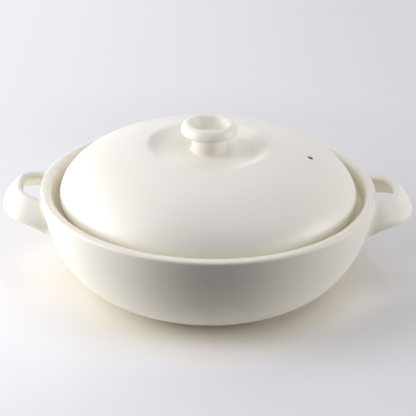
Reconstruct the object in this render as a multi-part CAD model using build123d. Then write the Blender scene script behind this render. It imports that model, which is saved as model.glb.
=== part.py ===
"""Covered casserole dish: a stoneware bowl with two strap handles and a domed lid with a hollow knob.

Millimetres, +Z up. The origin is on the table, under the middle of the bowl. The handles lie along X.
Bowl, lid and knob are turned about Z. The lid rests on a ledge just inside the rim.
"""
from build123d import *
from math import asin, cos, pi, radians, sin, tan
import os

os.makedirs("parts", exist_ok=True)

# ---- bowl ----
RIM_RADIUS = 147.2         # outside of the rim
POT_HEIGHT = 90.0          # table to the top of the lip
LIP_WIDTH = 8.4            # across the top of the lip
LIP_OUTER_ROUND = 3.4
LIP_INNER_ROUND = 4.2
WALL = 8.0                 # side of the bowl
FLOOR = 8.5                # floor of the bowl
BELLY_POWERS = (1.75, 2.34)  # Lame powers of the outside curve, down and out: 2 and 2 would be an ellipse
FOOT_RADIUS = 81.0         # outside of the foot ring
FOOT_WIDTH = 9.0
FOOT_HEIGHT = 3.6
FOOT_EDGE_ROUND = 1.2

# ---- lid seat inside the rim ----
GALLERY_DEPTH = 12.0       # lip down to the ledge
GALLERY_TAPER = 3.2        # the gallery wall leans in by this much from lip to ledge
LEDGE_WIDTH = 14.0
LEDGE_THICKNESS = 8.0
LEDGE_UNDERCUT = 14.0      # height over which the wall runs back out under the ledge
LEDGE_ROUND = 2.0
UNDERCUT_ROUND = 9.0

# ---- lid ----
LID_PLAY = 5.1             # ring of air between the lid's edge and the gallery wall
LID_EDGE_HEIGHT = 4.5      # seat to the widest line of the lid
LID_EDGE_ROUND = 3.5       # the edge draws in by this much below its widest line
LID_EDGE_WIDTH = 10.0      # thickness of the shell at its edge
LID_RISE = 47.9            # widest line to the apex that the dome would have without its dish
DOME_POWERS = (2.66, 1.91)   # Lame powers of the dome, out and up
LID_WALL = 7.0
DISH_RADIUS = 53.0         # sunken dish round the knob
DISH_DEPTH = 5.8
DISH_BORDER = 10.0         # width of its sloping border
DISH_EDGE_ROUND = 5.0
DISH_COVE_ROUND = 14.0
STEAM_HOLE_DIAMETER = 5.0
STEAM_HOLE_PLACE = 88.0    # distance from the axis
STEAM_HOLE_ANGLE = -6.5    # degrees from the right handle

# ---- knob ----
KNOB_HEIGHT = 26.1
KNOB_RING_RADIUS = 24.8
KNOB_RING_HEIGHT = 18.8    # base to the widest line of the ring
KNOB_RING_DROP = 5.2       # widest line down to where the ring meets the stem
KNOB_CREST_RADIUS = 19.2
KNOB_CREST_ROUND = 2.2
KNOB_STEM_RADIUS = 15.0
KNOB_STEM_FLARE = 1.4
KNOB_HOLLOW_DEPTH = 15.0
KNOB_HOLLOW_TAPER = 5.0    # the hollow narrows by this much on its way down
KNOB_HOLLOW_ROUND = 6.0

# ---- strap handles ----
STRAP_THICKNESS = 8.0
GRIP_TOP_REACH = 19.2      # past the rim, middle of the strap's top edge at the tip
GRIP_TOP_HALF = 28.8       # half the width of that edge's loop where it starts
GRIP_LOW_REACH = 28.6      # the same two sizes for the lower edge
GRIP_LOW_HALF = 42.4
GRIP_ROOT_INSET = 17.0     # the loop starts this far inside the rim
GRIP_SQUARENESS = 2.88     # Lame power of the loop seen from above
GRIP_TIP_RISE = 0.6        # top edge at the tip, above the lip
GRIP_TIP_WIDTH = 20.2      # height of the strap at its tip
GRIP_TOP_SLOPE = 10.5      # degrees, the top edge climbs outwards
GRIP_ROOT_DROP = 16.6      # the lower edge falls by this much on its way back to the wall
GRIP_DROP_POWER = 2.45

# ---- how finely the curves are drawn ----
CURVE_STEPS = 12
STRAP_STATIONS = 12

# ---- places that follow from the sizes above ----
underside = FOOT_HEIGHT
floor_top = underside + FLOOR
ledge_height = POT_HEIGHT - GALLERY_DEPTH
gallery_top_radius = RIM_RADIUS - LIP_WIDTH
gallery_radius = gallery_top_radius - GALLERY_TAPER
mouth_radius = gallery_radius - LEDGE_WIDTH
lid_radius = gallery_radius - LID_PLAY
lid_inner_radius = lid_radius - LID_EDGE_WIDTH
lid_widest = ledge_height + LID_EDGE_HEIGHT


def lame_point(reach, rise, reach_power, rise_power, turn):
    """Point of a quarter Lame curve from (0, rise) at turn 0 to (reach, 0) at turn 1."""
    angle = turn * pi / 2
    return reach * sin(angle) ** (2 / reach_power), rise * cos(angle) ** (2 / rise_power)


def lame_spline(place, reach, rise, powers, start=0.0):
    """Edge along a quarter Lame curve, from the turn given to its end; place puts each point of it."""
    def at(turn):
        return Vector(place(*lame_point(reach, rise, *powers, turn)))

    nudge = 0.001
    points = [at(start + (1 - start) * step / CURVE_STEPS) for step in range(CURVE_STEPS + 1)]
    return Spline(*points, tangents=(at(start + nudge) - points[0], points[-1] - at(1 - nudge)))


def lame_turn(share, reach_power):
    """Turn at which a quarter Lame curve has come this share of its reach."""
    return asin(share ** (reach_power / 2)) / (pi / 2)


def turned(*lines):
    """Solid turned about Z from the closed outline that the lines make, as radius and height."""
    return revolve(Plane.XZ * make_face(Curve() + list(lines)), Axis.Z)


def ring_edges(solid, *places):
    """The circular edges of a turned solid nearest to these places, given as radius and height."""
    circles = solid.edges().filter_by(GeomType.CIRCLE)
    return [
        min(circles, key=lambda edge: abs(edge.radius - radius) + abs(edge.center().Z - height))
        for radius, height in places
    ]


def belly_curve(wall, low, high):
    """Side of the bowl between two heights, drawn in by the wall."""
    depth = POT_HEIGHT - low
    start = lame_turn((POT_HEIGHT - high) / depth, BELLY_POWERS[0])
    return lame_spline(
        lambda down, out: (FOOT_RADIUS + out, POT_HEIGHT - down),
        depth,
        RIM_RADIUS - FOOT_RADIUS - wall,
        BELLY_POWERS,
        start,
    )


def bowl_body():
    """Outside shape of the bowl as one full solid, without its hollow or its foot ring."""
    side = belly_curve(0, underside, POT_HEIGHT)
    body = turned(side, Polyline(side @ 0, (0, POT_HEIGHT), (0, underside), side @ 1))
    return fillet(ring_edges(body, (RIM_RADIUS, POT_HEIGHT)), LIP_OUTER_ROUND)


def gallery_hollow():
    """Space above the ledge, inside the lip."""
    return turned(
        Polyline(
            (0, ledge_height),
            (gallery_radius, ledge_height),
            (gallery_top_radius, POT_HEIGHT),
            (0, POT_HEIGHT),
            (0, ledge_height),
        )
    )


def cooking_hollow():
    """Space below the ledge: the wall runs back out under the ledge and then follows the belly."""
    ledge_low = ledge_height - LEDGE_THICKNESS
    side = belly_curve(WALL, floor_top, ledge_low - LEDGE_UNDERCUT)
    shoulder = side @ 0
    hollow = turned(
        side,
        Polyline(shoulder, (mouth_radius, ledge_low), (mouth_radius, ledge_height), (0, ledge_height)),
        Polyline((0, ledge_height), (0, floor_top), side @ 1),
    )
    corners = ring_edges(hollow, (shoulder.X, shoulder.Y), (mouth_radius, ledge_low))
    return fillet(corners, UNDERCUT_ROUND)


def foot_ring():
    """Ring that the bowl stands on."""
    inner = FOOT_RADIUS - FOOT_WIDTH
    top = underside + FLOOR / 2
    foot = turned(Polyline((inner, 0), (FOOT_RADIUS, 0), (FOOT_RADIUS, top), (inner, top), (inner, 0)))
    return fillet(ring_edges(foot, (FOOT_RADIUS, 0), (inner, 0)), FOOT_EDGE_ROUND)


def make_pot(body):
    """Bowl with foot ring, rounded lip and lid ledge."""
    pot = body - gallery_hollow() - cooking_hollow() + foot_ring()
    pot = fillet(ring_edges(pot, (gallery_top_radius, POT_HEIGHT)), LIP_INNER_ROUND)
    ledge_edges = ring_edges(pot, (mouth_radius, ledge_height), (gallery_radius, ledge_height))
    return fillet(ledge_edges, LEDGE_ROUND)


def dome_curve(reach, rise, inner_edge):
    """Dome from a circle near its middle out to its widest line."""
    start = lame_turn(inner_edge / reach, DOME_POWERS[0])
    return lame_spline(lambda out, up: (out, lid_widest + up), reach, rise, DOME_POWERS, start)


def make_lid():
    """Domed shell with a flat seat, a sunken dish round its middle and a steam hole."""
    outside = dome_curve(lid_radius, LID_RISE, DISH_RADIUS)
    inside = dome_curve(lid_inner_radius, LID_RISE - LID_WALL, DISH_RADIUS + LID_WALL)
    dish_edge = outside @ 0
    boss_edge = inside @ 0
    dish_floor = dish_edge.Y - DISH_DEPTH
    dish_flat = DISH_RADIUS - DISH_BORDER
    boss_flat = dish_flat + LID_WALL / 2
    boss_low = dish_floor - LID_WALL
    seat_radius = lid_radius - LID_EDGE_ROUND
    lid = turned(
        outside,
        EllipticalCenterArc((seat_radius, lid_widest), LID_EDGE_ROUND, LID_EDGE_HEIGHT, -90, arc_size=90),
        Polyline((seat_radius, ledge_height), (lid_inner_radius, ledge_height), (lid_inner_radius, lid_widest)),
        inside,
        Polyline(boss_edge, (boss_flat, boss_low), (0, boss_low), (0, dish_floor)),
        Polyline((0, dish_floor), (dish_flat, dish_floor), dish_edge),
    )
    lid = fillet(ring_edges(lid, (dish_edge.X, dish_edge.Y), (boss_edge.X, boss_edge.Y)), DISH_EDGE_ROUND)
    lid = fillet(ring_edges(lid, (dish_flat, dish_floor), (boss_flat, boss_low)), DISH_COVE_ROUND)
    hole = Cylinder(STEAM_HOLE_DIAMETER / 2, 2 * LID_RISE)
    lid -= Rot(Z=STEAM_HOLE_ANGLE) * Pos(STEAM_HOLE_PLACE, 0, dish_floor) * hole
    return lid, dish_floor


def make_knob(base):
    """Hollow knob: a stem that swells to a ring, with an open cup in its top."""
    widest = base + KNOB_RING_HEIGHT
    top = base + KNOB_HEIGHT
    swell = KNOB_RING_RADIUS - KNOB_STEM_RADIUS
    shoulder = KNOB_RING_RADIUS - KNOB_CREST_RADIUS
    hollow_radius = KNOB_CREST_RADIUS - KNOB_CREST_ROUND
    hollow_floor = top - KNOB_HOLLOW_DEPTH
    knob = turned(
        Polyline((0, base), (KNOB_STEM_RADIUS + KNOB_STEM_FLARE, base)),
        CenterArc((KNOB_STEM_RADIUS + KNOB_STEM_FLARE, base + KNOB_STEM_FLARE), KNOB_STEM_FLARE, 180, 90),
        Line((KNOB_STEM_RADIUS, base + KNOB_STEM_FLARE), (KNOB_STEM_RADIUS, widest - KNOB_RING_DROP)),
        EllipticalCenterArc((KNOB_STEM_RADIUS, widest), swell, KNOB_RING_DROP, -90, arc_size=90),
        EllipticalCenterArc((KNOB_CREST_RADIUS, widest), shoulder, top - widest, 0, arc_size=90),
        CenterArc((KNOB_CREST_RADIUS, top - KNOB_CREST_ROUND), KNOB_CREST_ROUND, 90, 90),
        Polyline(
            (hollow_radius, top - KNOB_CREST_ROUND),
            (hollow_radius - KNOB_HOLLOW_TAPER, hollow_floor),
            (0, hollow_floor),
            (0, base),
        ),
    )
    return fillet(ring_edges(knob, (hollow_radius - KNOB_HOLLOW_TAPER, hollow_floor)), KNOB_HOLLOW_ROUND)


def strap_point(reach, half, turn):
    """Point of a strap edge seen from above, for turn -1 at one root, 0 at the tip and 1 at the other."""
    along, across = lame_point(reach, half, GRIP_SQUARENESS, GRIP_SQUARENESS, 1 - abs(turn))
    return along, across if turn > 0 else -across


def strap_edges(turn):
    """Middles of the strap's top edge and lower edge at one place along the loop."""
    root = RIM_RADIUS - GRIP_ROOT_INSET
    top_reach = GRIP_TOP_REACH + GRIP_ROOT_INSET
    low_reach = GRIP_LOW_REACH + GRIP_ROOT_INSET
    tip_top = POT_HEIGHT + GRIP_TIP_RISE - STRAP_THICKNESS / 2
    tip_low = POT_HEIGHT + GRIP_TIP_RISE - GRIP_TIP_WIDTH + STRAP_THICKNESS / 2
    top_x, top_y = strap_point(top_reach, GRIP_TOP_HALF, turn)
    low_x, low_y = strap_point(low_reach, GRIP_LOW_HALF, turn)
    top_z = tip_top - (top_reach - top_x) * tan(radians(GRIP_TOP_SLOPE))
    low_z = tip_low - GRIP_ROOT_DROP * (1 - low_x / low_reach) ** GRIP_DROP_POWER
    return Vector(root + top_x, top_y, top_z), Vector(root + low_x, low_y, low_z)


def strap_section(turn):
    """Cross-section of the strap, a flat band with round edges, square to the loop."""
    step = 0.01
    top, low = strap_edges(turn)
    before = strap_edges(max(turn - step, -1))
    after = strap_edges(min(turn + step, 1))
    width = top - low
    across = width.normalized()
    along = after[0] + after[1] - before[0] - before[1]
    along -= across * along.dot(across)
    place = Plane(origin=(top + low) / 2, x_dir=across, z_dir=along)
    return place * SlotCenterToCenter(width.length, STRAP_THICKNESS)


def make_handle(body):
    """Right handle: a wide strap bent to a loop, leaning out as it goes down, luted to the wall."""
    sections = [strap_section(2 * station / STRAP_STATIONS - 1) for station in range(STRAP_STATIONS + 1)]
    return loft(sections) - body


def main():
    """Makes each piece and writes it to its own file."""
    body = bowl_body()
    right_handle = make_handle(body)
    lid, dish_floor = make_lid()
    pieces = {
        "pot": make_pot(body),
        "right_handle": right_handle,
        "left_handle": mirror(right_handle, Plane.YZ),
        "lid": lid,
        "knob": make_knob(dish_floor),
    }
    for name, piece in pieces.items():
        export_step(piece, f"parts/{name}.step")


main()
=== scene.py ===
"""Looks of the covered casserole dish: an ivory stoneware pot, its domed lid and knob, in soft light.

Metres, +Z up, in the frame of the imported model. Pot, lid and knob are turned on a wheel, so each is an
outline spun about Z. The two straps are bent clay bands, joined to the wall with a little slip.
"""

import logging
from dataclasses import dataclass, field
from enum import Enum
from math import asin, ceil, cos, hypot, pi, radians, sin, sqrt, tan
from typing import Callable, Iterable

import bmesh
import bpy
from mathutils import Matrix, Vector


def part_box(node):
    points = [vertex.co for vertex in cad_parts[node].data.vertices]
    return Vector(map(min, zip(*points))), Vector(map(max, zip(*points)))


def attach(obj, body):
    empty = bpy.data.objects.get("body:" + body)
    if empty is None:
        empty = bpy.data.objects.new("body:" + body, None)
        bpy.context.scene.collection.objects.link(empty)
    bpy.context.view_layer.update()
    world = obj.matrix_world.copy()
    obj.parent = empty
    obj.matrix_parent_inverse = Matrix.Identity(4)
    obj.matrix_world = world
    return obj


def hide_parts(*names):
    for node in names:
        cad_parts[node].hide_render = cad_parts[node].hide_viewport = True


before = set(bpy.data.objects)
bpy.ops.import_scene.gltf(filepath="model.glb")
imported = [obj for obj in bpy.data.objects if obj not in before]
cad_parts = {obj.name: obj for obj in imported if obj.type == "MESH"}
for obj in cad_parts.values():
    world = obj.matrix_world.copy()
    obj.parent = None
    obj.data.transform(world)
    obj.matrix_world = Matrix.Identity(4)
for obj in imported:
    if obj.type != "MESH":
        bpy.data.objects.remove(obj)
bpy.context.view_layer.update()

LOG = logging.getLogger("casserole")
MM = 0.001
BEND_LAYER = "bend"
BEND_STEP = 0.1 * MM  # shorter edges don't count for the bend
WELD = 0.02 * MM  # vertices nearer than this are one

Point = tuple[float, float]  # a radius and a height, or a distance out and up
Ends = tuple[float, float]  # where a change starts and where it is complete


class Body(Enum):
    """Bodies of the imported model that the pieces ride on."""

    POT = "pot"
    LID = "lid"


class Side(Enum):
    """Sides of the dish that have a handle, as the front shows them."""

    LEFT = "left"
    RIGHT = "right"


# ---- small helpers ----


def linear(code: str) -> tuple[float, float, float, float]:
    """Turns an sRGB hex colour to the linear values that nodes want.

    Args:
        code: Colour such as "#F4F0E6".

    Returns:
        Linear red, green and blue, and an opacity of 1.
    """
    parts = [int(code[place:place + 2], 16) / 255 for place in (1, 3, 5)]
    # The curve of the sRGB standard.
    red, green, blue = (
        part / 12.92 if part <= 0.04045 else ((part + 0.055) / 1.055) ** 2.4 for part in parts
    )
    return red, green, blue, 1.0


def lame(reach: float, rise: float, powers: Point, turn: float) -> Point:
    """Finds a point of a quarter Lame curve.

    Args:
        reach: How far the curve goes out.
        rise: How far it goes up.
        powers: Lame powers, out and up; 2 and 2 make an ellipse.
        turn: 0 at the top of the curve, 1 at its outer end.

    Returns:
        Distances out and up.
    """
    angle = turn * pi / 2
    return reach * sin(angle) ** (2 / powers[0]), rise * cos(angle) ** (2 / powers[1])


def lame_turn(share: float, power: float) -> float:
    """Turn at which a quarter Lame curve has come this share of its reach."""
    return asin(share ** (power / 2)) / (pi / 2)


def steps(start: float, end: float, count: int) -> list[float]:
    """Evenly spaced values from start to end, both included."""
    return [start + (end - start) * step / count for step in range(count + 1)]


def mark_bends(mesh: bmesh.types.BMesh) -> None:
    """Stores how sharply the surface bends at each vertex, in turns of one radian per metre.

    The value is above 0 on rounded edges, where a glaze runs thin, and below 0 in corners, where it pools
    and where a warmer painted shade goes.

    Args:
        mesh: The shape, with its normals pointing out.
    """
    mesh.normal_update()
    layer = mesh.verts.layers.float.new(BEND_LAYER)
    for corner in mesh.verts:
        bends = [0.0]
        for edge in corner.link_edges:
            other = edge.other_vert(corner)
            step = other.co - corner.co
            if step.length > BEND_STEP:
                bends.append((other.normal - corner.normal).dot(step) / step.length_squared)
        corner[layer] = max(bends) + min(bends)


def finished(mesh: bmesh.types.BMesh, name: str, *materials: bpy.types.Material) -> bpy.types.Object:
    """Makes a shown object of a bmesh, smooth all over.

    Args:
        mesh: The shape, in place; it is freed.
        name: Name of the piece.
        materials: Its finishes, by the faces' material numbers.

    Returns:
        The new object, at the origin.
    """
    data = bpy.data.meshes.new(name)
    mark_bends(mesh)
    for face in mesh.faces:
        face.smooth = True
    mesh.to_mesh(data)
    mesh.free()
    for material in materials:
        data.materials.append(material)
    piece = bpy.data.objects.new(name, data)
    bpy.context.scene.collection.objects.link(piece)
    return piece


def settled(piece: bpy.types.Object, body: Body, node: str) -> bpy.types.Object:
    """Lets a piece ride on its body and stand for its plain solid.

    Args:
        piece: The finished piece.
        body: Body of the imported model.
        node: Plain solid that it replaces.

    Returns:
        The piece.
    """
    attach(piece, body.value)
    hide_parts(node)
    return piece


def cut_away(piece: bpy.types.Object, cutter: bpy.types.Object) -> None:
    """Cuts one object out of another, tidies the new seam and removes the cutter.

    Args:
        piece: Object that stays, with its new mesh.
        cutter: Closed object that is taken out of it.
    """
    cut = piece.modifiers.new("cut", "BOOLEAN")
    cut.operation = "DIFFERENCE"
    cut.solver = "EXACT"
    cut.object = cutter
    graph = bpy.context.evaluated_depsgraph_get()
    data = bpy.data.meshes.new_from_object(piece.evaluated_get(graph))
    mesh = bmesh.new()
    mesh.from_mesh(data)
    bmesh.ops.remove_doubles(mesh, verts=mesh.verts, dist=WELD)
    bmesh.ops.dissolve_degenerate(mesh, edges=mesh.edges, dist=WELD)
    bmesh.ops.dissolve_verts(mesh, verts=[corner for corner in mesh.verts if len(corner.link_edges) == 2])
    mesh.to_mesh(data)
    mesh.free()
    piece.modifiers.clear()
    piece.data = data
    bpy.data.objects.remove(cutter)


@dataclass
class Outline:
    """Half section of a turned piece, drawn as one line of corners and curves, each a radius and a height.

    Attributes:
        points: The line's points in order.
        rounds: Radius of the rounding at some of them.
        arc_step: Largest turn of one edge of a rounding.
    """

    points: list[Point] = field(default_factory=list)
    rounds: dict[int, float] = field(default_factory=dict)
    arc_step: float = radians(9)

    def to(self, radius: float, height: float, rounding: float = 0.0) -> "Outline":
        """Goes straight to a point, and rounds the corner there if asked.

        Args:
            radius: Distance from the axis.
            height: Height above the table.
            rounding: Radius of the rounding.

        Returns:
            The outline itself, for the next stretch.
        """
        if rounding:
            self.rounds[len(self.points)] = rounding
        self.points.append((radius, height))
        return self

    def along(
        self, curve: Callable[[float], Point], turns: Iterable[float], clear: float = 0.0
    ) -> "Outline":
        """Follows a curve through the turns given.

        Args:
            curve: Gives a radius and a height for a turn.
            turns: Turns of the points, in order.
            clear: Length left free of points after the last corner, for its rounding.

        Returns:
            The outline itself, for the next stretch.
        """
        corner = Vector(self.points[-1])
        places = [curve(turn) for turn in turns]
        self.points.extend(place for place in places if (Vector(place) - corner).length > clear)
        return self

    def corner_turn(self, place: int) -> float:
        """Angle by which the line turns at one of its points."""
        before, here, after = (Vector(self.points[place + shift]) for shift in (-1, 0, 1))
        return (here - before).angle(after - here)

    def turned(self, divisions: int) -> bmesh.types.BMesh:
        """Rounds the corners and spins the line about Z.

        Args:
            divisions: Number of steps round the axis.

        Returns:
            A closed shell with its faces pointing out.
        """
        mesh = bmesh.new()
        corners = [mesh.verts.new((radius, 0, height)) for radius, height in self.points]
        for start, end in zip(corners, corners[1:]):
            mesh.edges.new((start, end))
        for place, rounding in self.rounds.items():
            angle = self.corner_turn(place)
            bmesh.ops.bevel(
                mesh,
                geom=[corners[place]],
                offset=rounding * tan(angle / 2),
                offset_type="OFFSET",
                segments=max(2, ceil(angle / self.arc_step)),
                profile=0.5,  # a round one
                affect="VERTICES",
                material=-1,
            )
        bmesh.ops.spin(
            mesh,
            geom=[*mesh.verts, *mesh.edges],
            cent=(0, 0, 0),
            axis=(0, 0, 1),
            angle=2 * pi,
            steps=divisions,
            use_merge=True,
        )
        bmesh.ops.remove_doubles(mesh, verts=mesh.verts, dist=WELD)
        bmesh.ops.recalc_face_normals(mesh, faces=mesh.faces)
        return mesh


# ---- finishes ----


def add_node(tree: bpy.types.NodeTree, kind: str, inputs: dict | None = None, **settings) -> bpy.types.Node:
    """Adds a node with its settings and links.

    Args:
        tree: Node tree of the material.
        kind: Blender's name of the node.
        inputs: Value, hex colour, output socket to link, or node whose first output in use is linked, for
            each input socket by name or number.
        settings: Properties of the node.

    Returns:
        The new node.
    """
    node = tree.nodes.new(kind)
    for name, value in settings.items():
        setattr(node, name, value)
    for name, value in (inputs or {}).items():
        if isinstance(value, str):
            value = linear(value)
        if isinstance(value, bpy.types.Node):
            value = next(output for output in value.outputs if output.enabled)
        if isinstance(value, bpy.types.NodeSocket):
            tree.links.new(value, node.inputs[name])
        else:
            node.inputs[name].default_value = value
    return node


def blank_material(name: str) -> tuple[bpy.types.Material, bpy.types.NodeTree]:
    """Makes a material without nodes.

    Args:
        name: Name of the real material.

    Returns:
        The material and its node tree.
    """
    material = bpy.data.materials.new(name)
    material.use_nodes = True
    material.node_tree.nodes.clear()
    return material, material.node_tree


@dataclass(frozen=True)
class SatinGlaze:
    """Ivory satin glaze over pale stoneware, dipped and fired.

    The melt lies thick and milky on the flats, and clouds a little from place to place. It runs thin over
    rounded edges, where the warmer clay shows through, and pools in corners, where its warmer tone is also
    painted shade for light bounced between glazed faces. It is wiped off where the clay touches the kiln
    shelf or the lid, and is dry there.

    Attributes:
        bare_rings: Rings without glaze, each an inner and outer radius and a lowest and highest height.
        cloud: Real size of the slow change of tone, and how fine its detail goes.
        mottle: Same, for the small change of tone.
        wave: Same, for the unevenness left by the potter's hand.
        peel: Same, for the skin of the melt.
        grog: Same, for the grit in bare clay.
        edge_bends: Bends at which the glaze starts to run thin, and is thinnest.
        pool_and_shade_bends: Bends at which it starts to pool and take the painted shade, and is thickest.
        pool_and_shade_share: How much a full pool, with its painted shade, hides the body colour.
        wipe_edge: Half the width of the soft line where the glaze is wiped off.
    """

    # Satin glaze on stoneware, dipped: a soft white with a broad, dim sheen, warmer where the coat is thin.
    name: str
    bare_rings: tuple[tuple[float, float, float, float], ...] = ()
    colour: str = "#F5F0E1"
    cloud_colour: str = "#F1EBD9"
    thin_colour: str = "#EFE6CC"
    # Partly painted shade: the pooled tone is warmer, also standing in for light bounced between glazed
    # faces in corners.
    pool_and_shade_colour: str = "#F4ECD0"
    clay_colour: str = "#E9E1CD"
    grog_colour: str = "#D8CDB5"
    roughness: float = 0.42
    thin_roughness: float = 0.5
    clay_roughness: float = 0.9
    ior: float = 1.5
    cloud: Point = (55 * MM, 3.0)
    mottle: Point = (4 * MM, 2.0)
    wave: Point = (24 * MM, 1.0)
    # The real skin and grit are about half as coarse as these, too fine to show.
    peel: Point = (2.2 * MM, 1.0)
    grog: Point = (0.7 * MM, 2.0)
    wave_height: float = 0.12 * MM
    peel_height: float = 0.012 * MM
    grog_height: float = 0.08 * MM
    edge_bends: Ends = (90.0, 420.0)
    pool_and_shade_bends: Ends = (-40.0, -260.0)
    pool_and_shade_share: float = 0.8
    wipe_edge: float = 0.35 * MM

    def bareness(self, tree: bpy.types.NodeTree, place: bpy.types.NodeSocket) -> bpy.types.Node | float:
        """Finds where the clay is bare.

        Args:
            tree: Node tree of the material.
            place: Object coordinates.

        Returns:
            Node with 1 inside one of the rings and 0 elsewhere, or a plain 0 if there are no rings.
        """
        height = add_node(tree, "ShaderNodeSeparateXYZ", {"Vector": place}).outputs["Z"]
        flat = add_node(tree, "ShaderNodeVectorMath", {0: place, 1: (1, 1, 0)}, operation="MULTIPLY")
        radius = add_node(tree, "ShaderNodeVectorMath", {0: flat}, operation="LENGTH")
        bare = 0.0
        for inner, outer, low, high in self.bare_rings:
            ring = 1.0
            for value, end, edge in (
                (radius, inner, self.wipe_edge),
                (radius, outer, -self.wipe_edge),
                (height, low, self.wipe_edge),
                (height, high, -self.wipe_edge),
            ):
                reach = {"Value": value, "From Min": end - edge, "From Max": end + edge}
                within = add_node(tree, "ShaderNodeMapRange", reach, interpolation_type="SMOOTHSTEP")
                ring = add_node(tree, "ShaderNodeMath", {0: ring, 1: within}, operation="MULTIPLY")
            bare = add_node(tree, "ShaderNodeMath", {0: bare, 1: ring}, operation="MAXIMUM")
        return bare

    def share_by_bend(self, tree: bpy.types.NodeTree, ends: Ends, most: float) -> bpy.types.Node:
        """Finds how much of a coat shows where the surface bends.

        Args:
            tree: Node tree of the material.
            ends: Bend at which it starts to show, and bend at which it shows most.
            most: Its largest share.

        Returns:
            Node with the share.
        """
        bend = add_node(tree, "ShaderNodeAttribute", attribute_name=BEND_LAYER).outputs["Fac"]
        reach = {"Value": bend, "From Min": ends[0], "From Max": ends[1], "To Max": most}
        return add_node(tree, "ShaderNodeMapRange", reach, interpolation_type="SMOOTHSTEP")

    def material(self) -> bpy.types.Material:
        """Builds the glaze.

        Returns:
            The material.
        """
        material, tree = blank_material(self.name)
        place = add_node(tree, "ShaderNodeTexCoord").outputs["Object"]
        cloud, mottle, wave, peel, grog = (
            add_node(tree, "ShaderNodeTexNoise", {"Vector": place, "Scale": 1 / size, "Detail": detail})
            for size, detail in (self.cloud, self.mottle, self.wave, self.peel, self.grog)
        )
        cloudy = add_node(tree, "ShaderNodeMath", {0: cloud, 1: mottle}, operation="MULTIPLY")
        edges = self.share_by_bend(tree, self.edge_bends, 1.0)
        thin = add_node(tree, "ShaderNodeMath", {0: edges, 1: mottle}, operation="MULTIPLY")
        # Pooled glaze in concave corners, with painted warm shade.
        pooled_and_shaded = self.share_by_bend(tree, self.pool_and_shade_bends, self.pool_and_shade_share)
        bare = self.bareness(tree, place)
        clay_tones = {"Factor": grog, "A": self.clay_colour, "B": self.grog_colour}
        clay = add_node(tree, "ShaderNodeMix", clay_tones, data_type="RGBA")
        tone = self.colour
        for share, coat in (
            (cloudy, self.cloud_colour),
            (pooled_and_shaded, self.pool_and_shade_colour),
            (thin, self.thin_colour),
            (bare, clay),
        ):
            layers = {"Factor": share, "A": tone, "B": coat}
            tone = add_node(tree, "ShaderNodeMix", layers, data_type="RGBA")
        rough = self.roughness
        for share, coat in ((thin, self.thin_roughness), (bare, self.clay_roughness)):
            layers = {"Factor": share, "A": rough, "B": coat}
            rough = add_node(tree, "ShaderNodeMix", layers, data_type="FLOAT")
        height = add_node(tree, "ShaderNodeMath", {0: wave, 1: self.wave_height}, operation="MULTIPLY")
        grain = add_node(tree, "ShaderNodeMath", {0: grog, 1: bare}, operation="MULTIPLY")
        for relief, size in ((peel, self.peel_height), (grain, self.grog_height)):
            layers = {0: relief, 1: size, 2: height}
            height = add_node(tree, "ShaderNodeMath", layers, operation="MULTIPLY_ADD")
        bump = add_node(tree, "ShaderNodeBump", {"Height": height, "Strength": 1.0, "Distance": 1.0})
        shader = add_node(
            tree,
            "ShaderNodeBsdfPrincipled",
            {"Base Color": tone, "Roughness": rough, "IOR": self.ior, "Normal": bump},
        )
        add_node(tree, "ShaderNodeOutputMaterial", {"Surface": shader})
        return material


@dataclass(frozen=True)
class ShadedHoleClay:
    """Raw stoneware in the drilled steam hole, painted dark with the shade inside it."""

    # Bare, drilled clay, dull, and painted dark with shade so that the small hole reads as deep; two dark
    # tones mottle at random.
    name: str = "bare_stoneware_painted_hole_shade"
    colour: str = "#A9A087"
    darker_shade_colour: str = "#8A8168"
    shade_mottle_size: float = 1.5 * MM
    grain_height: float = 0.1 * MM
    roughness: float = 0.9

    def material(self) -> bpy.types.Material:
        """Builds the clay.

        Returns:
            The material.
        """
        material, tree = blank_material(self.name)
        place = add_node(tree, "ShaderNodeTexCoord").outputs["Object"]
        grain = add_node(tree, "ShaderNodeTexNoise", {"Vector": place, "Scale": 1 / self.shade_mottle_size})
        layers = {"Factor": grain, "A": self.colour, "B": self.darker_shade_colour}
        tone = add_node(tree, "ShaderNodeMix", layers, data_type="RGBA")
        relief = {"Height": grain, "Strength": 1.0, "Distance": self.grain_height}
        bump = add_node(tree, "ShaderNodeBump", relief)
        finish = {"Base Color": tone, "Roughness": self.roughness, "Normal": bump}
        shader = add_node(tree, "ShaderNodeBsdfPrincipled", finish)
        add_node(tree, "ShaderNodeOutputMaterial", {"Surface": shader})
        return material


def shown_share(tree: bpy.types.NodeTree) -> bpy.types.Node:
    """Tells what shows the background from what only takes its light.

    Args:
        tree: Node tree of the backdrop or the world.

    Returns:
        Node with 1 for what the eye, a glossy surface or clear glass sees, and 0 for soft light.
    """
    rays = add_node(tree, "ShaderNodeLightPath")
    share = rays.outputs["Is Camera Ray"]
    for kind in ("Is Glossy Ray", "Is Transmission Ray"):
        share = add_node(tree, "ShaderNodeMath", {0: share, 1: rays.outputs[kind]}, operation="MAXIMUM")
    return share


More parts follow.
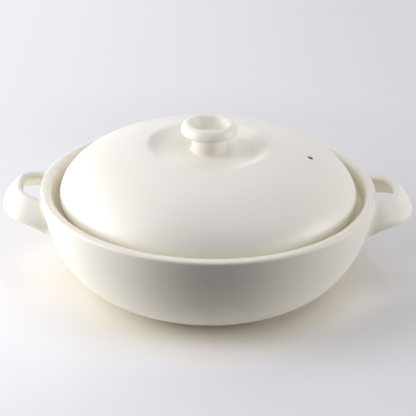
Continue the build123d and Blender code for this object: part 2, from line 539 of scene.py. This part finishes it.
@dataclass(frozen=True)
class Paper:
    """Matt white background paper that the dish stands on: no sheen, only the soft shadow.

    The eye sees it pale, painted lighter on the left and darker on the right, and painted warm close to the
    dish as if lit by light thrown down from the glaze above it; far away it runs into the pale room,
    painted the same way. The light that it throws back is weaker, and weakest in front, where the studio is
    dark.

    Attributes:
        painted_falloff_ends: How far to the left and to the right the shown colours are pure; between them
            runs the painted falloff.
        painted_glow_ends: Distances from the axis at which the painted warm glow starts, and is full.
        room_ends: Distances at which the paper starts to run into the room, and is gone.
        far_ends: Distances over which the room's two sides run into one colour.
        bounce_ends: Places along Y, in front of the axis, over which the light thrown back fades.
    """

    # Matt background paper, uncoated: a pale ground that shows soft shadow, painted lighter on the left and
    # darker on the right, and painted warm close to the dish.
    name: str = "background_paper"
    # Painted falloff: the shown paper is lighter on the left, towards the window lamp, and darker on the
    # right.
    painted_lighter_left_colour: str = "#F6F4F0"
    painted_darker_right_colour: str = "#EEECE8"
    # Painted glow: a warm tint in the shown paper close to the dish stands in for light thrown down from
    # the glaze.
    painted_glow_colour: str = "#F2ECDB"
    # The shown room carries the same painted falloff: lighter on the left, darker on the right.
    painted_lighter_left_room: str = "#F0F0F6"
    painted_darker_right_room: str = "#D7D6DB"
    far_room: str = "#E3E3E8"
    painted_falloff_ends: Ends = (-260 * MM, 260 * MM)
    painted_glow_ends: Ends = (160 * MM, 100 * MM)
    room_ends: Ends = (230 * MM, 480 * MM)
    far_ends: Ends = (900 * MM, 3500 * MM)
    near_bounce: str = "#F6F2EB"
    front_bounce: str = "#2C2B2A"
    bounce_ends: Ends = (-120 * MM, -265 * MM)

    def material(self) -> bpy.types.Material:
        """Builds the paper.

        Returns:
            The material.
        """
        material, tree = blank_material(self.name)
        place = add_node(tree, "ShaderNodeTexCoord").outputs["Object"]
        parts = add_node(tree, "ShaderNodeSeparateXYZ", {"Vector": place}).outputs
        away = add_node(tree, "ShaderNodeVectorMath", {0: place}, operation="LENGTH")
        across, forward, close, outward, far = (
            add_node(tree, "ShaderNodeMapRange", {"Value": way, "From Min": ends[0], "From Max": ends[1]})
            for way, ends in (
                (parts["X"], self.painted_falloff_ends),
                (parts["Y"], self.bounce_ends),
                (away, self.painted_glow_ends),
                (away, self.room_ends),
                (away, self.far_ends),
            )
        )
        pale, room, bounce = (
            add_node(tree, "ShaderNodeMix", {"Factor": share, "A": first, "B": last}, data_type="RGBA")
            for share, first, last in (
                (across, self.painted_lighter_left_colour, self.painted_darker_right_colour),
                (across, self.painted_lighter_left_room, self.painted_darker_right_room),
                (forward, self.near_bounce, self.front_bounce),
            )
        )
        # Painted warm glow: close to the dish the shown paper turns warm, in place of light bounced from
        # the glaze.
        layers = {"Factor": close, "A": pale, "B": self.painted_glow_colour}
        warm = add_node(tree, "ShaderNodeMix", layers, data_type="RGBA")
        shown = shown_share(tree)
        layers = {"Factor": shown, "A": bounce, "B": warm}
        tone = add_node(tree, "ShaderNodeMix", layers, data_type="RGBA")
        paper = add_node(tree, "ShaderNodeBsdfDiffuse", {"Color": tone})
        # Far off, the eye sees a glow of the room colours in place of the lit paper, with their painted
        # falloff.
        layers = {"Factor": far, "A": room, "B": self.far_room}
        shown_room_tone = add_node(tree, "ShaderNodeMix", layers, data_type="RGBA")
        shown_room_glow = add_node(tree, "ShaderNodeEmission", {"Color": shown_room_tone})
        share = add_node(tree, "ShaderNodeMath", {0: outward, 1: shown}, operation="MULTIPLY")
        seen = add_node(tree, "ShaderNodeMixShader", {0: share, 1: paper, 2: shown_room_glow})
        add_node(tree, "ShaderNodeOutputMaterial", {"Surface": seen})
        return material


# ---- the pot ----


@dataclass
class Pot:
    """Bowl with a foot ring, a round lip and a ledge for the lid.

    Attributes:
        belly_powers: Lame powers of the side, down and out.
        gallery_taper: How much narrower the gallery is at the ledge than at the lip.
        ledge_undercut: Height over which the ledge's underside runs down into the wall.
        corner_clear: Length left free of points after the undercut, for its rounding.
        bare_height: How far above a bare face the glaze is wiped off.
        nudge: Small height over which the wall's lean is measured.
    """

    lip_width: float = 8.4 * MM
    lip_outer_round: float = 2.7 * MM
    lip_inner_round: float = 3.7 * MM
    wall: float = 8.0 * MM
    floor: float = 8.5 * MM
    belly_powers: Point = (1.75, 2.34)
    foot_radius: float = 81.0 * MM
    foot_width: float = 9.0 * MM
    foot_height: float = 3.6 * MM
    foot_edge_round: float = 1.2 * MM
    gallery_depth: float = 12.0 * MM
    gallery_taper: float = 3.2 * MM
    ledge_width: float = 14.0 * MM
    ledge_thickness: float = 8.0 * MM
    ledge_undercut: float = 14.0 * MM
    ledge_round: float = 2.0 * MM
    undercut_round: float = 9.0 * MM
    corner_clear: float = 6.0 * MM
    bare_height: float = 0.8 * MM
    nudge: float = 0.5 * MM
    divisions: int = 256
    belly_points: int = 44

    def __post_init__(self) -> None:
        """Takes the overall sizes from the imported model."""
        low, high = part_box("pot")
        self.radius = (high.x - low.x) / 2
        self.height = high.z
        self.ledge = self.height - self.gallery_depth
        self.gallery = self.radius - self.lip_width - self.gallery_taper

    def finish(self) -> bpy.types.Material:
        """Glazes the bowl, but not under the foot ring and on the ledge that the lid rests on.

        Returns:
            The material.
        """
        mouth = self.gallery - self.ledge_width
        foot = (self.foot_radius - self.foot_width, self.foot_radius, -MM, self.bare_height)
        seat = (mouth, self.gallery, self.ledge - MM, self.ledge + self.bare_height)
        return SatinGlaze("satin_ivory_glaze_pot", (foot, seat)).material()

    def side(self, inset: float, low: float, turn: float) -> Point:
        """Finds a point of the bowl's side.

        Args:
            inset: Distance inside the outer face.
            low: Height at which the side meets the floor.
            turn: 0 at the lip, 1 at the floor.

        Returns:
            Radius and height.
        """
        down, out = lame(self.height - low, self.radius - self.foot_radius - inset, self.belly_powers, turn)
        return self.foot_radius + out, self.height - down

    def side_turn(self, low: float, height: float) -> float:
        """Turn at which the side, from the lip to its floor at low, comes to a height."""
        return lame_turn((self.height - height) / (self.height - low), self.belly_powers[0])

    def wall_radius(self, height: float) -> float:
        """Radius of the outer face at a height."""
        return self.side(0, self.foot_height, self.side_turn(self.foot_height, height))[0]

    def distance(self, place: Vector) -> float:
        """Finds how far a point near the outer face lies outside it.

        Args:
            place: The point.

        Returns:
            The distance, below 0 inside the wall.
        """
        height = min(place.z, self.height - self.nudge)
        radius = self.wall_radius(height)
        lean = (self.wall_radius(height - self.nudge) - radius) / self.nudge
        return (place.xy.length - radius) / hypot(1, lean)

    def outer_side(self, turn: float) -> Point:
        """Point of the outer face."""
        return self.side(0, self.foot_height, turn)

    def inner_side(self, turn: float) -> Point:
        """Point of the inner face, below the ledge."""
        return self.side(self.wall, self.foot_height + self.floor, turn)

    def outline(self) -> Outline:
        """Draws the half section, from under the foot up the outside, over the lip and down to the floor.

        Returns:
            The outline.
        """
        floor_top = self.foot_height + self.floor
        ledge_low = self.ledge - self.ledge_thickness
        mouth = self.gallery - self.ledge_width
        foot_inner = self.foot_radius - self.foot_width
        shoulder = self.side_turn(floor_top, ledge_low - self.ledge_undercut)
        lip_start = self.side_turn(self.foot_height, self.height - self.lip_outer_round)
        line = Outline().to(0, self.foot_height)
        line.to(foot_inner, self.foot_height, self.foot_edge_round)
        line.to(foot_inner, 0, self.foot_edge_round)
        line.to(self.foot_radius, 0, self.foot_edge_round)
        line.to(self.foot_radius, self.foot_height, self.foot_edge_round)
        line.along(self.outer_side, steps(1, lip_start, self.belly_points), 2 * self.foot_edge_round)
        line.to(self.radius, self.height, self.lip_outer_round)
        line.to(self.radius - self.lip_width, self.height, self.lip_inner_round)
        line.to(self.gallery, self.ledge, self.ledge_round)
        line.to(mouth, self.ledge, self.ledge_round)
        line.to(mouth, ledge_low, self.undercut_round)
        line.to(*self.inner_side(shoulder), self.undercut_round)
        line.along(self.inner_side, steps(shoulder, 1, self.belly_points), self.corner_clear)
        return line.to(0, floor_top)

    def build(self) -> bpy.types.Object:
        """Turns the bowl and puts it in place of its plain solid."""
        bowl = finished(self.outline().turned(self.divisions), "bowl", self.finish())
        return settled(bowl, Body.POT, "pot")

    def joint_body(self, sink: float, glaze: bpy.types.Material) -> bpy.types.Object:
        """Full body of the bowl, a little smaller, that cuts the roots of the straps.

        Args:
            sink: How far the roots may reach into the wall.
            glaze: Finish of the cut.

        Returns:
            An object for cutting with; the caller removes it.
        """
        line = Outline().to(0, self.foot_height)
        turns = steps(1, 0, self.belly_points)
        line.along(lambda turn: self.side(sink, self.foot_height, turn), turns)
        line.to(0, self.height)
        return finished(line.turned(self.divisions), "joint_body", glaze)


# ---- the straps ----


@dataclass
class Strap:
    """Handle: a wide band bent to a loop, leaning out as it goes down, with a soft joint to the wall.

    Attributes:
        leg_swell: How much wider the band is in its legs than at its tip, beyond their common shape.
        leg_start: Share of the way from the tip to a root at which the swell is full.
        lean: Slope from the front leg up to the back leg, because each strap is bent by hand.
        top_reach: How far the top edge goes out from the rim.
        top_half: Half the width of the loop along the top edge.
        low_reach: How far the lower edge goes out from the rim.
        low_half: Half the width of the loop along the lower edge.
        root_inset: How far inside the rim the loop starts.
        squareness: Lame power of the loop, seen from above.
        look_ahead: Turn over which the direction of the loop is measured.
        sink: How far the roots reach into the wall.
        root_length: Straight length added at each root, before the cut.
    """

    pot: Pot
    glaze: bpy.types.Material
    leg_swell: float = 0.0
    leg_start: float = 0.6
    lean: float = 0.0
    thickness: float = 8.0 * MM
    top_reach: float = 19.2 * MM
    top_half: float = 28.8 * MM
    low_reach: float = 28.6 * MM
    low_half: float = 42.4 * MM
    root_inset: float = 17.0 * MM
    squareness: float = 2.88
    tip_rise: float = 0.6 * MM
    tip_width: float = 20.2 * MM
    top_slope: float = radians(10.5)
    root_drop: float = 16.6 * MM
    drop_power: float = 2.45
    slip_round: float = 3.0 * MM
    sink: float = 0.5 * MM
    root_length: float = 9.0 * MM
    look_ahead: float = 0.01
    stations: int = 120
    edge_segments: int = 20
    flat_cuts: int = 6

    def point(self, reach: float, half: float, turn: float) -> Point:
        """Point of a strap edge seen from above, for turn -1 and 1 at the roots and 0 at the tip."""
        along, across = lame(reach, half, (self.squareness, self.squareness), 1 - abs(turn))
        return along, across if turn > 0 else -across

    def edges(self, turn: float) -> tuple[Vector, Vector]:
        """Finds the middles of the strap's top edge and lower edge.

        Args:
            turn: Place along the loop, from -1 to 1.

        Returns:
            The two middles, for the right handle.
        """
        root = self.pot.radius - self.root_inset
        top_reach = self.top_reach + self.root_inset
        low_reach = self.low_reach + self.root_inset
        tip_top = self.pot.height + self.tip_rise - self.thickness / 2
        tip_low = self.pot.height + self.tip_rise - self.tip_width + self.thickness / 2
        top_x, top_y = self.point(top_reach, self.top_half, turn)
        low_x, low_y = self.point(low_reach, self.low_half, turn)
        swell = self.leg_swell / 2 * sin(pi / 2 * min(abs(turn) / self.leg_start, 1)) ** 2
        slope = (top_reach - top_x) * tan(self.top_slope)
        drop = self.root_drop * (1 - low_x / low_reach) ** self.drop_power
        top_z = tip_top - slope + swell - top_y * self.lean
        low_z = tip_low - drop - swell - low_y * self.lean
        return Vector((root + top_x, top_y, top_z)), Vector((root + low_x, low_y, low_z))

    def section(self, mesh: bmesh.types.BMesh, turn: float, back: float = 0.0) -> list[bmesh.types.BMEdge]:
        """Adds one cross-section of the strap: a flat band with round edges.

        Args:
            mesh: Mesh to add it to.
            turn: Place along the loop.
            back: Distance that it lies further in, towards the axis.

        Returns:
            The section's edges.
        """
        top, low = self.edges(turn)
        before = self.edges(max(turn - self.look_ahead, -1))
        after = self.edges(min(turn + self.look_ahead, 1))
        across = (top - low).normalized()
        along = after[0] + after[1] - before[0] - before[1]
        along = (along - across * along.dot(across)).normalized()
        through = along.cross(across)
        place = Matrix((across, through, along)).transposed().to_4x4()
        place.translation = (top + low) / 2 - Vector((back, 0, 0))
        half_turn = Matrix.Rotation(pi / self.edge_segments, 4, "Z")
        ring = bmesh.ops.create_circle(
            mesh, segments=self.edge_segments, radius=self.thickness / 2, matrix=half_turn
        )["verts"]
        stretch = (top - low).length / 2
        for corner in ring:
            corner.co.x += stretch if corner.co.x > 0 else -stretch
        bmesh.ops.transform(mesh, matrix=place, verts=ring)
        return list({edge for corner in ring for edge in corner.link_edges})

    def swell_at_wall(self, mesh: bmesh.types.BMesh) -> None:
        """Spreads the strap sideways where it comes near the wall, so that it runs into it in a fillet.

        Args:
            mesh: The strap, before it is cut to the wall.
        """
        mesh.normal_update()
        for corner in mesh.verts:
            depth = min(max(self.slip_round - self.pot.distance(corner.co), 0), self.slip_round)
            spread = self.slip_round - sqrt(self.slip_round ** 2 - depth ** 2)
            corner.co.y += corner.normal.y * spread

    def build(self, side: Side) -> bpy.types.Object:
        """Lofts the strap, cuts it to the wall and puts it in place of its plain solid.

        Args:
            side: Side of the dish.

        Returns:
            The finished handle.
        """
        mesh = bmesh.new()
        rings = [self.section(mesh, turn) for turn in steps(-1, 1, self.stations)]
        rings.insert(0, self.section(mesh, -1, self.root_length))
        rings.append(self.section(mesh, 1, self.root_length))
        for ring, following in zip(rings, rings[1:]):
            bmesh.ops.bridge_loops(mesh, edges=ring + following)
        for ring in (rings[0], rings[-1]):
            bmesh.ops.edgeloop_fill(mesh, edges=ring)
        flats = [edge for ring in rings for edge in ring if edge.calc_length() > self.thickness]
        bmesh.ops.subdivide_edges(mesh, edges=flats, cuts=self.flat_cuts)
        bmesh.ops.recalc_face_normals(mesh, faces=mesh.faces)
        self.swell_at_wall(mesh)
        if side is Side.LEFT:
            bmesh.ops.scale(mesh, vec=(-1, 1, 1), verts=mesh.verts)
            bmesh.ops.reverse_faces(mesh, faces=mesh.faces)
        strap = finished(mesh, f"{side.value}_strap", self.glaze)
        cut_away(strap, self.pot.joint_body(self.sink, self.glaze))
        return settled(strap, Body.POT, f"{side.value}_handle")


# ---- the lid ----


@dataclass
class Lid:
    """Domed shell with a flat seat, a sunken dish round its middle and a steam hole.

    Attributes:
        edge_height: Height of the widest line above the seat.
        edge_width: Width of the edge, from the widest line in to the under face.
        rise: Height of the dome above the widest line, as if there were no sunken dish.
        dome_powers: Lame powers of the dome, out and up.
        dish_border: Width of the slope from the dish's flat middle up to its edge.
        hole_border: Radius of the patch of the shell that is made anew round the hole.
        hole_place: Distance of the hole from the axis.
        hole_angle: Direction of the hole from the right handle, counter-clockwise from above.
        cove_gap: Number of points left out before the underside's corner, for its rounding.
    """

    edge_height: float = 4.5 * MM
    edge_round: float = 3.5 * MM
    edge_width: float = 10.0 * MM
    rise: float = 47.9 * MM
    dome_powers: Point = (2.66, 1.91)
    wall: float = 7.0 * MM
    dish_radius: float = 53.0 * MM
    dish_depth: float = 5.8 * MM
    dish_border: float = 10.0 * MM
    dish_edge_round: float = 7.0 * MM
    dish_cove_round: float = 14.0 * MM
    seat_round: float = 1.5 * MM
    bare_height: float = 0.8 * MM
    corner_clear: float = 3.0 * MM
    hole_radius: float = 2.5 * MM
    hole_round: float = 0.3 * MM
    hole_border: float = 5.0 * MM
    hole_place: float = 88.0 * MM
    hole_angle: float = radians(-6.5)
    divisions: int = 256
    dome_points: int = 56
    edge_points: int = 10
    hole_points: int = 3
    cove_gap: int = 3

    def __post_init__(self) -> None:
        """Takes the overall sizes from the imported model, and finds the middle of the hole."""
        low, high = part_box("lid")
        self.radius = (high.x - low.x) / 2
        self.seat = low.z
        self.widest = self.seat + self.edge_height
        self.hole = Vector((cos(self.hole_angle), sin(self.hole_angle))) * self.hole_place

    def finish(self) -> bpy.types.Material:
        """Glazes the lid, but not along its seat."""
        seat = (self.radius - self.edge_width, self.radius, self.seat - MM, self.seat + self.bare_height)
        return SatinGlaze("satin_ivory_glaze_lid", (seat,)).material()

    def dome(self, inset: float, drop: float, turn: float) -> Point:
        """Finds a point of the dome.

        Args:
            inset: Distance inside the outer edge.
            drop: Distance below the outer apex.
            turn: 0 over the middle, 1 at the edge.

        Returns:
            Radius and height.
        """
        out, up = lame(self.radius - inset, self.rise - drop, self.dome_powers, turn)
        return out, self.widest + up

    def outer(self, turn: float) -> Point:
        """Point of the upper face."""
        return self.dome(0, 0, turn)

    def inner(self, turn: float) -> Point:
        """Point of the under face."""
        return self.dome(self.edge_width, self.wall, turn)

    def edge(self, turn: float) -> Point:
        """Finds a point of the rolled edge.

        Args:
            turn: 0 at the widest line, 1 at the seat.

        Returns:
            Radius and height.
        """
        angle = turn * pi / 2
        return (
            self.radius - self.edge_round * (1 - cos(angle)),
            self.widest - self.edge_height * sin(angle),
        )

    def outline(self) -> Outline:
        """Draws the half section, from the middle of the dish over the dome and back under it.

        Returns:
            The outline.
        """
        inner_radius = self.radius - self.edge_width
        start = lame_turn(self.dish_radius / self.radius, self.dome_powers[0])
        inner_start = lame_turn((self.dish_radius + self.wall) / inner_radius, self.dome_powers[0])
        dish_floor = self.outer(start)[1] - self.dish_depth
        dish_flat = self.dish_radius - self.dish_border
        boss_low = dish_floor - self.wall
        line = Outline().to(0, dish_floor)
        line.to(dish_flat, dish_floor, self.dish_cove_round)
        line.to(*self.outer(start), self.dish_edge_round)
        line.along(self.outer, steps(start, 1, self.dome_points), self.corner_clear)
        line.along(self.edge, steps(0, 1, self.edge_points)[1:])
        line.to(inner_radius, self.seat, self.seat_round)
        line.along(self.inner, steps(1, inner_start, self.dome_points)[:-self.cove_gap])
        line.to(*self.inner(inner_start), self.dish_edge_round)
        line.to(dish_flat + self.wall / 2, boss_low, self.dish_cove_round)
        return line.to(0, boss_low)

    def surface_height(self, radius: float, under: bool) -> float:
        """Finds the height of the dome's upper or under face.

        Args:
            radius: Distance from the axis.
            under: Whether the under face is meant.

        Returns:
            Height above the table.
        """
        inset = self.edge_width if under else 0
        drop = self.wall if under else 0
        turn = lame_turn(radius / (self.radius - inset), self.dome_powers[0])
        return self.dome(inset, drop, turn)[1]

    def ring_round_hole(
        self, ring: list[bmesh.types.BMVert], radius: float, under: bool, depth: float
    ) -> None:
        """Puts vertices on a circle round the steam hole, on the dome's face or at a depth in the shell.

        Args:
            ring: The vertices.
            radius: Radius of the circle.
            under: Whether it is on the under face.
            depth: Distance from the face, into the shell.
        """
        for corner in ring:
            away = (corner.co.xy - self.hole).normalized()
            corner.co.xy = self.hole + away * radius
            height = self.surface_height(corner.co.xy.length, under)
            corner.co.z = height + depth if under else height - depth

    def pierce(self, mesh: bmesh.types.BMesh) -> None:
        """Cuts the steam hole with a rounded rim on both faces.

        Args:
            mesh: The turned shell.
        """
        near = [
            face
            for face in mesh.faces
            if (face.calc_center_median().xy - self.hole).length < self.hole_border
        ]
        bmesh.ops.delete(mesh, geom=near, context="FACES")
        open_edges = [edge for edge in mesh.edges if edge.is_boundary]
        centre_height = sum(self.surface_height(self.hole_place, under) for under in (False, True)) / 2
        throats = []
        for under in (False, True):
            loop = [edge for edge in open_edges if (edge.verts[0].co.z < centre_height) == under]
            ring = list({corner for edge in loop for corner in edge.verts})
            self.ring_round_hole(ring, self.hole_border, under, 0)
            for angle in steps(0, pi / 2, self.hole_points):
                new = bmesh.ops.extrude_edge_only(mesh, edges=loop)["geom"]
                loop = [part for part in new if isinstance(part, bmesh.types.BMEdge) and part.is_boundary]
                ring = list({corner for edge in loop for corner in edge.verts})
                radius = self.hole_radius + self.hole_round * (1 - sin(angle))
                self.ring_round_hole(ring, radius, under, self.hole_round * (1 - cos(angle)))
            throats += loop
        for face in bmesh.ops.bridge_loops(mesh, edges=throats)["faces"]:
            face.material_index = 1
        bmesh.ops.recalc_face_normals(mesh, faces=mesh.faces)

    def build(self) -> bpy.types.Object:
        """Turns the lid, pierces it and puts it in place of its plain solid.

        Returns:
            The finished lid.
        """
        mesh = self.outline().turned(self.divisions)
        self.pierce(mesh)
        # The hole's wall takes bare clay painted dark with the shade inside the hole.
        shell = finished(mesh, "lid_shell", self.finish(), ShadedHoleClay().material())
        return settled(shell, Body.LID, "lid")


@dataclass
class Knob:
    """Hollow knob: a stem that swells to a ring, with an open cup in its top.

    Attributes:
        ring_height: Height of the ring's widest line above the knob's base.
        ring_drop: Height from where the ring meets the stem up to its widest line.
        crest_radius: Radius of the ring's top line, round the cup.
        stem_flare: Radius of the stem's soft foot.
        hollow_taper: How much narrower the cup is at its floor than at its mouth.
        sink: How far the base reaches into the lid.
        stem_clear: How many roundings the stem's points keep from its ends.
    """

    # Painted light: a whiter glaze, with paler thin and pooled tones, lifts the stem and the ring's
    # underside out of the ring's shade.
    colour: str = "#F8F4E8"
    thin_colour: str = "#F3EDDD"
    pool_and_shade_colour: str = "#F5F1E4"
    ring_height: float = 18.8 * MM
    ring_drop: float = 4.2 * MM
    crest_radius: float = 19.2 * MM
    crest_round: float = 2.2 * MM
    stem_radius: float = 15.0 * MM
    stem_flare: float = 2.4 * MM
    neck_round: float = 0.9 * MM
    hollow_depth: float = 15.0 * MM
    hollow_taper: float = 5.0 * MM
    hollow_round: float = 6.0 * MM
    sink: float = 0.3 * MM
    divisions: int = 128
    ring_points: int = 16
    stem_points: int = 4
    stem_clear: float = 1.5

    def __post_init__(self) -> None:
        """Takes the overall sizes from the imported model."""
        low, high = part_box("knob")
        self.radius = (high.x - low.x) / 2
        self.base = low.z
        self.top = high.z
        self.widest = self.base + self.ring_height

    def finish(self) -> bpy.types.Material:
        """Glazes the knob a little whiter and paler than the rest: painted light that lifts the stem out of
        the ring's shade.

        Returns:
            The material.
        """
        glaze = SatinGlaze(
            "satin_ivory_glaze_knob_painted_lighter",
            colour=self.colour,
            thin_colour=self.thin_colour,
            pool_and_shade_colour=self.pool_and_shade_colour,
        )
        return glaze.material()

    def ring(self, turn: float) -> Point:
        """Finds a point of the ring.

        Args:
            turn: -1 where it meets the stem, 0 where it is widest, 1 at its crest.

        Returns:
            Radius and height.
        """
        angle = turn * pi / 2
        if turn < 0:
            return (
                self.stem_radius + (self.radius - self.stem_radius) * cos(angle),
                self.widest + self.ring_drop * sin(angle),
            )
        return (
            self.crest_radius + (self.radius - self.crest_radius) * cos(angle),
            self.widest + (self.top - self.widest) * sin(angle),
        )

    def outline(self) -> Outline:
        """Draws the half section, from the base up the stem, over the ring and down into the cup.

        Returns:
            The outline.
        """
        cup = self.crest_radius - self.crest_round
        cup_floor = self.top - self.hollow_depth
        line = Outline().to(0, self.base - self.sink)
        line.to(self.stem_radius + self.stem_flare, self.base - self.sink)
        line.to(self.stem_radius + self.stem_flare, self.base)
        line.to(self.stem_radius, self.base, self.stem_flare)
        neck = self.widest - self.ring_drop
        stem_low = self.base + self.stem_clear * self.stem_flare
        stem_high = neck - self.stem_clear * self.neck_round
        for height in steps(stem_low, stem_high, self.stem_points):
            line.to(self.stem_radius, height)
        line.to(self.stem_radius, neck, self.neck_round)
        line.along(self.ring, steps(-1, 1, 2 * self.ring_points), 2 * self.neck_round)
        line.to(cup, self.top, self.crest_round)
        line.to(cup - self.hollow_taper, cup_floor, self.hollow_round)
        return line.to(0, cup_floor)

    def build(self) -> bpy.types.Object:
        """Turns the knob and puts it in place of its plain solid."""
        grip = finished(self.outline().turned(self.divisions), "knob_grip", self.finish())
        return settled(grip, Body.LID, "knob")


# ---- studio ----


@dataclass(frozen=True)
class Softbox:
    """Square lamp that points at the dish.

    Attributes:
        name: What it does.
        turn: Direction it stands in, in degrees from the right handle, counter-clockwise from above.
        rise: Height angle in degrees.
        away: Distance from the dish.
        width: Side of the square.
        power: Power in watts.
        colour: Colour of its light.
    """

    name: str
    turn: float
    rise: float
    away: float
    width: float
    power: float
    colour: str = "#F3F5FF"

    def build(self, aim: Vector) -> bpy.types.Object:
        """Hangs the lamp.

        Args:
            aim: Point that it shines at.

        Returns:
            The lamp.
        """
        turn, rise = radians(self.turn), radians(self.rise)
        direction = Vector((cos(rise) * cos(turn), cos(rise) * sin(turn), sin(rise)))
        data = bpy.data.lights.new(self.name, "AREA")
        data.shape = "SQUARE"
        data.size = self.width
        data.energy = self.power
        data.color = linear(self.colour)[:3]
        lamp = bpy.data.objects.new(self.name, data)
        lamp.location = aim + direction * self.away
        lamp.rotation_euler = direction.to_track_quat("Z", "Y").to_euler()
        bpy.context.scene.collection.objects.link(lamp)
        return lamp


@dataclass
class Studio:
    """Pale paper, soft lamps and the camera.

    Attributes:
        aim_height: Height of the point on the axis that the lamps and the camera point at.
        view_turn: Direction of the camera from the front, towards the right.
        view_rise: Height angle of the camera.
        view_away: Distance of the camera from its aim.
        view_roll: Tilt of the camera about its own line of sight.
        lens: Focal length in millimetres.
    """

    lamps: tuple[Softbox, ...] = (
        Softbox("window", turn=188, rise=10, away=0.9, width=0.5, power=6.7),
        Softbox("high_window", turn=190, rise=45, away=1.6, width=1.0, power=8.8),
        Softbox("rear_window", turn=150, rise=15, away=1.2, width=0.7, power=2.8),
        Softbox("side_card", turn=-8, rise=10, away=1.6, width=0.8, power=13.8),
        Softbox("front_card", turn=-45, rise=65, away=1.6, width=1.0, power=8.1),
        Softbox("back_card", turn=90, rise=20, away=1.6, width=1.0, power=2.4),
        Softbox("high_back_card", turn=90, rise=60, away=1.6, width=1.0, power=4.1),
    )
    paper: Paper = Paper()
    paper_radius: float = 4.0
    paper_sides: int = 64
    aim_height: float = 66.4 * MM
    view_turn: float = radians(-1.146)
    view_rise: float = radians(25.867)
    view_away: float = 1200 * MM
    view_roll: float = radians(1.13)
    view_nearest: float = 10 * MM
    lens: float = 116.94

    def build_paper(self) -> bpy.types.Object:
        """Lays the paper under the dish.

        Returns:
            The paper.
        """
        mesh = bmesh.new()
        bmesh.ops.create_circle(mesh, cap_ends=True, segments=self.paper_sides, radius=self.paper_radius)
        paper = finished(mesh, "paper", self.paper.material())
        return paper

    def build_world(self) -> None:
        """Shows a pale room that gives no soft light of its own."""
        world = bpy.data.worlds.new("room")
        world.use_nodes = True
        tree = world.node_tree
        tree.nodes.clear()
        light = {"Color": self.paper.far_room, "Strength": shown_share(tree)}
        room = add_node(tree, "ShaderNodeBackground", light)
        add_node(tree, "ShaderNodeOutputWorld", {"Surface": room})
        bpy.context.scene.world = world

    def build_camera(self, aim: Vector) -> bpy.types.Object:
        """Sets up the camera.

        Args:
            aim: Point that it looks at.

        Returns:
            The camera.
        """
        direction = Vector(
            (
                cos(self.view_rise) * sin(self.view_turn),
                -cos(self.view_rise) * cos(self.view_turn),
                sin(self.view_rise),
            )
        )
        data = bpy.data.cameras.new("camera")
        data.lens = self.lens
        data.clip_start = self.view_nearest
        camera = bpy.data.objects.new("camera", data)
        level = direction.to_track_quat("Z", "Y").to_matrix()
        camera.matrix_world = Matrix.Translation(aim + direction * self.view_away) @ (
            level @ Matrix.Rotation(self.view_roll, 3, "Z")
        ).to_4x4()
        bpy.context.scene.collection.objects.link(camera)
        bpy.context.scene.camera = camera
        return camera

    def build(self) -> None:
        """Sets up paper, room, lamps and camera."""
        aim = Vector((0, 0, self.aim_height))
        self.build_paper()
        self.build_world()
        for lamp in self.lamps:
            lamp.build(aim)
        self.build_camera(aim)
        bpy.context.scene.view_settings.view_transform = "Standard"


def main() -> None:
    """Builds the dish and the studio."""
    logging.basicConfig(level=logging.INFO, format="%(message)s")
    glaze = SatinGlaze("satin_ivory_glaze").material()
    pot = Pot()
    pieces = [
        pot.build(),
        Strap(pot, glaze, leg_swell=2.6 * MM, lean=0.04).build(Side.RIGHT),
        Strap(pot, glaze).build(Side.LEFT),
        Lid().build(),
        Knob().build(),
    ]
    for piece in pieces:
        LOG.info("%s: %d faces", piece.name, len(piece.data.polygons))
    Studio().build()


if __name__ == "__main__":
    main()
